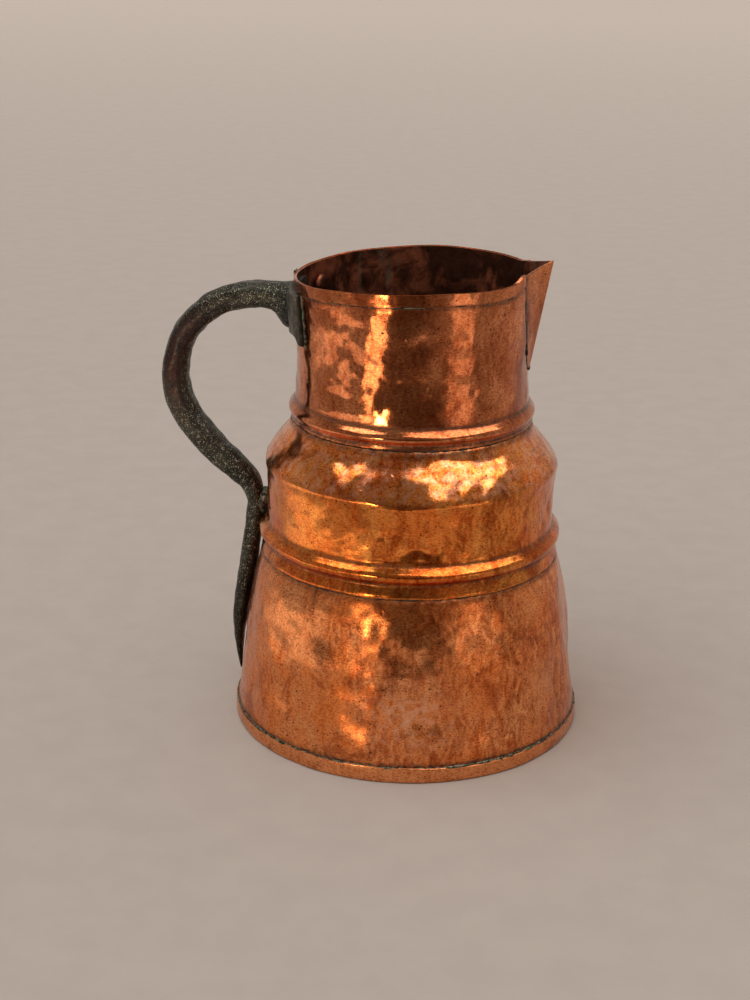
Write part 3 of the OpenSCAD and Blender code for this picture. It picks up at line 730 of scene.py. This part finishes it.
def palm_grid(margin, foot, thickness, edge_drop):
    """A patch on the back of the neck. Its half width grows downwards from the wings to the
    tongues, its lower edge dips to the tongues' points, and its upper edge rises to the spike."""
    u = np.linspace(-1, 1, 181)[None, :]
    t = np.linspace(0, 1, 70)[:, None]
    half = (34.6 + 5.0 * (1 - t) ** 1.3) * MM + margin
    top = 251.2 + 1.2 * near(u, 0, 0.28) + 4.4 * near(u, 0, 0.055) - 0.8 * step(np.abs(u), 0.94, 1.0)
    bottom = 225.6 - 1.9 * near(np.abs(u), 1.0, 0.1) - 2.6 * near(u, 0, 0.2) + 0.5 * np.cos(u * 9)
    level = (bottom + (top - bottom) * t) * MM + margin * (2 * t - 1)
    across = u * half + 0.35 * MM * np.sin(level / MM * 0.9 + 5 * u)
    angle = math.pi - across / (66 * MM)
    rim = np.minimum(np.minimum(t, 1 - t) * 26, (1 - np.abs(u)) * 38) / edge_drop
    swell = np.sqrt(np.clip(1 - (1 - np.clip(rim, 0, 1)) ** 2, 0, 1))
    wall = along(NECK_LINE, np.clip(level, 0, 256.5 * MM)) + foot
    crack = near(across, -17 * MM - 0.2 * (level - 236 * MM), 1.0 * MM) * (
        step(level, 229 * MM, 232 * MM) * (1 - step(level, 240 * MM, 243 * MM))
    )
    rough = rolls(angle, level, 66 * MM, (9, 0.16, 81), (3, 0.06, 82))
    tongue_gap = 0.8 * near(u, 0, 0.42) * (1 - step(level, 222 * MM, 240 * MM))
    thin = 1 - tongue_gap - 0.75 * near(u, 0, 0.5) * step(level, 244 * MM, 252 * MM)
    out = wall + (thickness * thin * (0.3 + 0.7 * swell) + rough * swell) * (1 - 0.75 * crack)
    face = place(out, angle, level)
    back = place(wall - 0.02 * foot - 0.25 * MM, angle, level)
    return face, back, 1 - swell, crack


def slab(face, back):
    """Closes two like grids, front and back, round their four sides."""
    rows, columns = face.shape[:2]
    half = rows * columns
    front = grid_faces(rows, columns)
    edge = np.concatenate([
        np.arange(columns - 1), np.arange(rows - 1) * columns + columns - 1,
        half - 1 - np.arange(columns - 1), (rows - 1 - np.arange(rows - 1)) * columns,
    ])
    ahead = np.roll(edge, -1)
    sides = np.stack([edge, ahead, ahead + half, edge + half], axis=1)
    points = np.vstack([face.reshape(-1, 3), back.reshape(-1, 3)])
    return points, np.vstack([front, front[:, ::-1] + half, sides])


def dull_palm(name):
    """A cast or forged plate tinned over and gone lead-grey, with painted shade in dark brown where it meets the
    neck, and small pits.
    """
    material, tree, where = start_material(name)
    shade_plus_dirt, bare = (add(tree, "Attribute", out="Fac", attribute_name=label) for label in ("grime", "wear"))
    base = layer(tree, "#625f55", "#403d36", patches(tree, where, 9, 0.35, 0.65, 5, 0.6))
    base = layer(tree, base, "#77746a", patches(tree, where, 3, 0.55, 0.7, 4, 0.7))
    base = layer(tree, base, "#1c1510", shade_plus_dirt)
    base = layer(tree, base, "#b5663c", bare)
    rough = patches(tree, where, 2, 0.3, 0.7, 3, 0.6, least=0.36, most=0.58)
    grain = add(tree, "TexNoise", {"Vector": where, "Scale": METRE / 1.1, "Detail": 4, "Roughness": 0.7})
    return surface(material, tree, base, 0.7, rough, grain, 0.35)


palm_metal = dull_palm("tinned_palm")
palm_face, palm_back, palm_rim, palm_crack = palm_grid(0, 0.8 * MM, 3.7 * MM, 2.6)
palm_points, palm_faces = slab(palm_face, palm_back)
# Painted shade darkens the palm's edges against the neck and all of its back.
palm_masks = {
    "grime": np.concatenate([(palm_rim ** 2 * 0.8).ravel(), np.ones(palm_rim.size)]),
    "wear": np.concatenate([palm_crack.ravel(), np.zeros(palm_rim.size)]),
}
make_piece("palm_plate", palm_points, palm_faces, [palm_metal], "palm_metal", "handle_palm", palm_masks)
bed_face, bed_back, _, _ = palm_grid(1.0 * MM, 0.0, 0.9 * MM, 1.5)
bed_points, bed_faces = slab(bed_face, bed_back)
make_piece("palm_solder_bed", bed_points, bed_faces, [solder], "soft_solder", "palm_solder")

# Rivets: soft copper, their heads inside the neck, hammered flat and dark.
rivet_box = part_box("palm_rivets")
rivet_z = (rivet_box[0][2] + rivet_box[1][2]) / 2
# Their section as [radius, distance out from the head's seat], from the flat head to the far end.
rivet_section = np.array([
    [0.4, -2.25], [2.0, -2.2], [3.6, -1.95], [4.8, -1.4], [5.4, -0.7], [5.5, -0.1], [5.3, 0.1], [3.1, 0.15],
    [3.0, 1.5], [3.0, 5.2], [2.6, 5.6], [0.4, 5.7],
]) * MM
RIVET_SEAT = 62.7 * MM
rivet_turn = np.linspace(0, TURN, 48, endpoint=False)[None, :]
rivet_out = rivet_section[:, 0:1] * (1 + 0.03 * np.cos(3 * rivet_turn + 1) + 0.02 * np.cos(5 * rivet_turn))
rivet_local = np.stack(np.broadcast_arrays(
    rivet_section[:, 1:2] + RIVET_SEAT, rivet_out * np.cos(rivet_turn), rivet_out * np.sin(rivet_turn),
), axis=-1)
for label, side in (("left", 1), ("right", -1)):
    lean = math.pi + side * math.radians(26)
    swing = np.array([[math.cos(lean), math.sin(lean), 0], [-math.sin(lean), math.cos(lean), 0], [0, 0, 1]])
    rivet_points, rivet_faces = capped(rivet_local @ swing + np.array([0, 0, rivet_z]))
    node = "palm_rivets" if label == "left" else None
    make_piece("rivet_" + label, rivet_points, rivet_faces, [inside_copper], "rivet_copper", node)

# ---------------------------------------------------------------------------
# Handle: a square iron bar with soft corners, forged to a bow that springs from
# the palm, and drawn out below the waist to a flat leaf that ends in a point.
# ---------------------------------------------------------------------------
# Stations on its middle line: distance from the axis, height, thickness and width, in millimetres.
BAR = [
    [62.5, 238.6, 29, 34], [66.5, 239.0, 27.5, 30], [70, 240, 23, 24], [74, 241.3, 17.5, 19.5],
    [79, 242.3, 14.9, 17.4], [88, 242.3, 14.6, 17], [98, 240.8, 14.6, 17], [110, 236.3, 14.2, 17],
    [121.5, 227.6, 14, 17], [130.3, 215.2, 14.5, 17], [134, 202, 14.8, 17], [134.6, 190.4, 15.3, 17],
    [131.6, 178.6, 15.8, 17.2], [124.8, 166, 15.8, 17.2], [113, 152, 15.4, 17], [100.3, 141.6, 14.2, 16.4],
    [92.6, 133.4, 12, 15.4], [89.5, 123.5, 9.6, 14.6], [90.4, 112.8, 8.4, 14.8], [92.6, 91, 9.4, 16.4],
    [95.4, 74, 9.2, 18.8], [97.8, 58, 8.8, 19.6], [99.2, 45, 7.2, 17], [99.6, 33, 4.2, 12], [99.3, 23, 2.2, 7],
    [98.9, 15.7, 0.9, 2.6],
]


def smooth_path(stations, count):
    """A Catmull-Rom curve through the stations, sampled evenly between them."""
    points = np.array(stations) * MM
    padded = np.vstack([points[:1], points, points[-1:]])
    at = np.linspace(0, len(points) - 1.0001, count)
    i = at.astype(int)
    t = (at - i)[:, None]
    a, b, c, d = padded[i], padded[i + 1], padded[i + 2], padded[i + 3]
    return 0.5 * (2 * b + (c - a) * t + (2 * a - 5 * b + 4 * c - d) * t ** 2 + (3 * b - a - 3 * c + d) * t ** 3)


def forged_iron(name):
    """Forged iron that was tinned and has lost most of it: a dark grey-green skin with a dense
    scatter of pale flecks, rubbed brown and smooth where the hand holds it."""
    material, tree, where = start_material(name)
    held, shade_plus_dirt = (add(tree, "Attribute", out="Fac", attribute_name=label) for label in ("wear", "grime"))
    base = layer(tree, "#3a3c35", "#1e1e1b", patches(tree, where, 14, 0.35, 0.65, 5, 0.6))
    base = layer(tree, base, "#38201f", held, patches(tree, where, 6, 0.28, 0.5, 4, 0.65))
    fleck = spots(tree, where, 0.8, 0.2, 0.36, patches(tree, where, 2.2, 0.48, 0.56, 4, 0.7))
    fleck_left = add(tree, "MapRange", [held, 0.1, 0.7, 0.95, 0.1], **SMOOTH)
    fleck = add(tree, "Math", [fleck, fleck_left], **TIMES)
    frost_left = add(tree, "MapRange", [held, 0.1, 0.8, 1.0, 0.15], **SMOOTH)
    base = layer(tree, base, "#858a78", patches(tree, where, 0.9, 0.54, 0.66, 3, 0.8, most=0.75), frost_left)
    base = layer(tree, base, "#d8d8c2", fleck)
    # Painted shade darkens the bar where it meets the palm and the jug.
    base = layer(tree, base, "#15110d", shade_plus_dirt)
    rough = patches(tree, where, 3, 0.3, 0.7, 3, 0.6, least=0.4, most=0.6)
    rough = weighted(tree, (rough, 0.85), (held, -0.1), (fleck, 0.1))
    grain = add(tree, "TexNoise", {"Vector": where, "Scale": METRE / 1.2, "Detail": 4, "Roughness": 0.65})
    return surface(material, tree, base, 0.6, rough, weighted(tree, (grain, 0.9), (fleck, 0.4)), 0.3)


bar_path = smooth_path(BAR, 300)
# It lies close against the low bead.
beside_bead = near(bar_path[:, 1], 108 * MM, 9 * MM)
bar_path[:, 0] -= 0.6 * MM * beside_bead
bar_path[:, 2] += 1.2 * MM * beside_bead
bar_along = np.gradient(bar_path[:, :2], axis=0)
bar_along /= np.linalg.norm(bar_along, axis=1, keepdims=True)
bar_side = np.stack([bar_along[:, 1], -bar_along[:, 0]], axis=1)[:, None, :]
bar_turn = np.linspace(0, TURN, 56, endpoint=False)[None, :]
# Its section is between a circle, of power 2, and a square.
POWER = 2.6
bar_round = (np.abs(np.cos(bar_turn)) ** POWER + np.abs(np.sin(bar_turn)) ** POWER) ** (-1 / POWER)
bar_run = np.cumsum(np.append(0, np.linalg.norm(np.diff(bar_path[:, :2], axis=0), axis=1)))[:, None]
forging = rolls(bar_turn, bar_run, 9 * MM, (26, 0.2, 91), (8, 0.12, 92))
forging = forging * step(bar_path[:, 2:3], 1 * MM, 8 * MM)
bar_off = np.cos(bar_turn) * (bar_round * bar_path[:, 2:3] / 2 + forging)
bar_wide = np.sin(bar_turn) * (bar_round * bar_path[:, 3:4] / 2 + forging)
bar_out = bar_path[:, 0:1] + bar_side[..., 0] * bar_off
bar_up = bar_path[:, 1:2] + bar_side[..., 1] * bar_off
bar_points, bar_faces = capped(np.stack([-bar_out, bar_wide, bar_up], axis=-1))
bar_held = near(bar_run, 88 * MM, 36 * MM) * (
    step(np.abs(bar_wide), 3 * MM, 7 * MM) * (1 - step(np.abs(bar_off), 3.5 * MM, 6.5 * MM))
)
# Painted shade: darker at the root against the palm, on the face turned to the jug where the bow comes down to
# the low bead, and along the tail beside the skirt.
bar_shade = 0.7 * near(bar_run, 4 * MM, 5 * MM) + 0.45 * step(bar_run, 205 * MM, 250 * MM) + (
    0.35 * step(bar_off, 3 * MM, 6 * MM) * step(bar_run, 150 * MM, 200 * MM)
)
bar_masks = on_tube(bar_out.shape, grime=bar_shade, wear=bar_held)
iron = forged_iron("forged_tinned_iron")
make_piece("handle_iron", bar_points, bar_faces, [iron], "forged_bar", "handle_bar", bar_masks)

# Tail braze: a lump of grey-green metal that holds the bar to the top of the lower bead.
blob_turn = np.linspace(0, TURN, 60, endpoint=False)[None, :]
blob_rise = np.linspace(0.06, math.pi - 0.06, 40)[:, None]
blob_r = 1 + 0.05 * waves(blob_turn, blob_rise * 8 * MM, 8 * MM, 7 * MM, 1, 95) * np.sin(blob_rise)
BLOB_MIDDLE = np.array([-83.8, 0, 121.6]) * MM
BLOB_HALF = np.array([4.9, 7.8, 7.6]) * MM
blob_shape = np.stack(np.broadcast_arrays(
    blob_r * np.sin(blob_rise) * np.cos(blob_turn), blob_r * np.cos(blob_rise),
    blob_r * np.sin(blob_rise) * np.sin(blob_turn),
), axis=-1)
blob_local = BLOB_MIDDLE + BLOB_HALF * blob_shape
make_piece("tail_braze_lump", *capped(blob_local), [solder], "soft_solder", "tail_braze")

# ---------------------------------------------------------------------------
# Cramped seams: a zigzag of brass down the back of each course, under the
# handle, where the sheet was joined into a tube before it was raised.
# ---------------------------------------------------------------------------


def brass_line(name):
    """Brass spelter filed flush with the copper: paler and yellower, with brown patches."""
    material, tree, where = start_material(name)
    base = layer(tree, "#b58a4a", "#7d5a30", patches(tree, where, 5, 0.35, 0.65, 4, 0.6))
    rough = patches(tree, where, 1.5, 0.3, 0.7, 3, 0.6, least=0.26, most=0.42)
    grain = add(tree, "TexNoise", {"Vector": where, "Scale": METRE / 0.6, "Detail": 3, "Roughness": 0.6})
    return surface(material, tree, base, 1.0, rough, grain, 0.1)


def zigzag_ribbon(name, node, radius, low, high):
    """A narrow ribbon that follows its course's own surface, crossing the back in teeth 9 mm wide
    and 12 mm high, proud of the sheet by the thickness of a file cut."""
    count = int((high - low) / (0.3 * MM))
    level = np.linspace(low, high, count)[:, None]
    phase = (level - low) / (12 * MM)
    centre = 4.5 * MM * (4 * np.abs(phase - np.floor(phase + 0.5)) - 1)
    width = 0.75 * MM * (1 + 0.2 * waves(0 * level, level, 80 * MM, 5 * MM, 1, 96))
    u = np.linspace(-1, 1, 7)[None, :]
    angle = math.pi + (centre + u * width * 1.25) / (80 * MM)
    out = radius(angle, level) + 0.07 * MM * (1 - u ** 4)
    face = place(out, angle, level)
    back = place(out - 0.6 * MM, angle, level)
    make_piece(name, *slab(face, back), [brass], "seam_brass", node)


brass = brass_line("filed_brass_seam")
zigzag_ribbon("skirt_brass", "skirt_seam", skirt_radius, 10 * MM, 99 * MM)
zigzag_ribbon("middle_brass", "middle_seam", middle_radius, 101.5 * MM, 176 * MM)
zigzag_ribbon("neck_brass", "neck_seam", neck_radius, 179 * MM, 252 * MM)

# ---------------------------------------------------------------------------
# Surroundings: a plain pale floor, soft lamps and a dim warm room.
# ---------------------------------------------------------------------------


def pale_floor(name, beside_level, before_level):
    """A plain matt pale floor with the faintest mottling, made a little paler far off by painted light. It
    can be given painted pools of light to the left of the jug and in front of it."""
    material, tree, where = start_material(name)
    base = layer(tree, "#c6bdb6", "#c2b9b2", patches(tree, where, 25, 0.3, 0.7, 4))
    parts = add(tree, "SeparateXYZ", {"Vector": where}).node.outputs
    left = add(tree, "MapRange", [parts["X"], -0.36, -0.26, beside_level, 0.0], **SMOOTH)
    forward = add(tree, "MapRange", [parts["Y"], -0.05, 0.12, 1.0, 0.0], **SMOOTH)
    beside = add(tree, "Math", [left, forward], **TIMES)
    before = add(tree, "MapRange", [parts["Y"], -0.42, -0.31, before_level, 0.0], **SMOOTH)
    painted_light_pools = add(tree, "Math", [beside, before], operation="MAXIMUM")
    far = add(tree, "MapRange", [parts["Y"], -0.6, 6.0, 0.68, 0.92], **SMOOTH)
    level = add(tree, "Math", [far, painted_light_pools], operation="ADD")
    base = add(tree, "VectorMath", {0: base, "Scale": level}, operation="SCALE")
    grain = add(tree, "TexNoise", {"Vector": where, "Scale": METRE / 4, "Detail": 3, "Roughness": 0.55})
    return surface(material, tree, base, 0.0, 0.8, grain, 0.05)


def floor_piece(name, low, high, level, paint):
    """A flat rectangle of floor between two corners, at a level."""
    mesh = bpy.data.meshes.new(name)
    (x0, y0), (x1, y1) = low, high
    mesh.from_pydata([(x0, y0, level), (x1, y0, level), (x1, y1, level), (x0, y1, level)], [], [(0, 1, 2, 3)])
    mesh.materials.append(paint)
    piece = stand(name, mesh)
    return piece


floor = floor_piece("floor", (-9, -6), (9, 13), 0, pale_floor("floor_paint", 0.0, 0.0))
floor.visible_glossy = False
floor.visible_diffuse = False
floor.visible_shadow = False
# The metal mirrors only the floor close by, with painted pools of light on it to the left and in front, as in a
# darker room.
lit_patch_paint = pale_floor("lit_patch_paint", 1.0, 0.34)
mirrored = floor_piece("floor_in_metal", (-0.8, -0.5), (0.6, 1.2), -0.5 * MM, lit_patch_paint)
mirrored.visible_camera = False


def lamp(name, position, target_z, size, power, tint, lean=0):
    """A flat soft lamp that points at a height on the jug's axis and isn't seen directly."""
    data = bpy.data.lights.new(name, "AREA")
    data.shape = "RECTANGLE"
    data.size, data.size_y = size
    data.energy = power
    data.color = colour(tint)[:3]
    piece = stand(name, data)
    piece.location = position
    aim = (Vector((0, 0, target_z)) - Vector(position)).to_track_quat("-Z", "Y").to_matrix()
    piece.rotation_euler = (aim @ Matrix.Rotation(math.radians(lean), 3, "Z")).to_euler()
    piece.visible_camera = False
    piece.visible_diffuse = False


lamp("window_left", (-0.61, -1.04, -0.17), 0.20, (0.36, 0.26), 0.85, "#ffdcb4", 3)
lamp("window_top", (-0.44, -1.12, 0.09), 0.08, (0.17, 0.10), 1.5, "#ffdcb4")
lamp("sky_right", (1.3, -0.95, -0.1), 0.15, (0.6, 0.7), 0.9, "#ffe6d2")
lamp("sky_top_left", (-0.76, -0.36, 1.5), 0.15, (0.62, 0.6), 3.6, "#fff0e0")
lamp("sky_top", (0.74, -0.24, 1.5), 0.15, (1.7, 1.3), 19, "#fff0e4")


def sun(name, power, spread, tint, towards, shadow):
    """Even light from a wide part of the sky, which the metal doesn't mirror."""
    data = bpy.data.lights.new(name, "SUN")
    data.energy = power
    data.angle = math.radians(spread)
    data.color = colour(tint)[:3]
    data.use_shadow = shadow
    piece = stand(name, data)
    piece.rotation_euler = Vector(towards).to_track_quat("-Z", "Y").to_euler()
    piece.visible_glossy = False


# Daylight gives the one soft shadow, and light thrown back by pale walls fills it.
sun("day", 2.0, 80, "#fff9f4", (0.45, 0.35, -1.0), True)
sun("fill", 1.0, 120, "#fff6ee", (0, 0, -1.0), False)

# The room: dark towards the front, where nothing stands, and paler behind and overhead.
room = bpy.data.worlds.new("room")
room.use_nodes = True
tree = room.node_tree
parts = add(tree, "SeparateXYZ", {"Vector": add(tree, "TexCoord", out="Generated")}).node.outputs
front = add(tree, "MapRange", [parts["Y"], -0.97, -0.72, 0.0, 0.55], **SMOOTH)
behind = add(tree, "MapRange", [parts["Y"], -0.3, 0.6, 0.0, 0.45], **SMOOTH)
ceiling = add(tree, "MapRange", [parts["Z"], 0.3, 0.85, 1.0, 0.4], **SMOOTH)
paler = add(tree, "Math", [front, behind], operation="ADD")
tree.links.new(layer(tree, "#5c5148", "#bcb1a8", paler, ceiling), tree.nodes["Background"].inputs["Color"])
bpy.context.scene.world = room

# Camera: at the height and distance that the perspective of the rims and beads asks for.
camera_data = bpy.data.cameras.new("camera")
camera_data.lens = 63.4
camera_data.sensor_width = 36
camera_data.clip_start = 0.05
camera = stand("camera", camera_data)
pitch, yaw, roll, swing = (math.radians(v) for v in (19.56, -1.199, 0.806, 7.0))
forward = np.array([math.sin(yaw) * math.cos(pitch), math.cos(yaw) * math.cos(pitch), -math.sin(pitch)])
right = np.array([math.cos(yaw), -math.sin(yaw), 0.0])
above = np.cross(right, forward)
across = math.cos(roll) * right + math.sin(roll) * above
above = math.cos(roll) * above - math.sin(roll) * right
turn = np.array([[math.cos(swing), -math.sin(swing), 0], [math.sin(swing), math.cos(swing), 0], [0, 0, 1]])
axes = np.stack([turn @ across, turn @ above, turn @ -forward], axis=1)
spot = turn @ np.array([0.0, -0.9427, 0.4617])
camera.matrix_world = Matrix([list(axes[i]) + [spot[i]] for i in range(3)] + [[0, 0, 0, 1]])
bpy.context.scene.camera = camera
bpy.context.scene.view_settings.view_transform = "Standard"
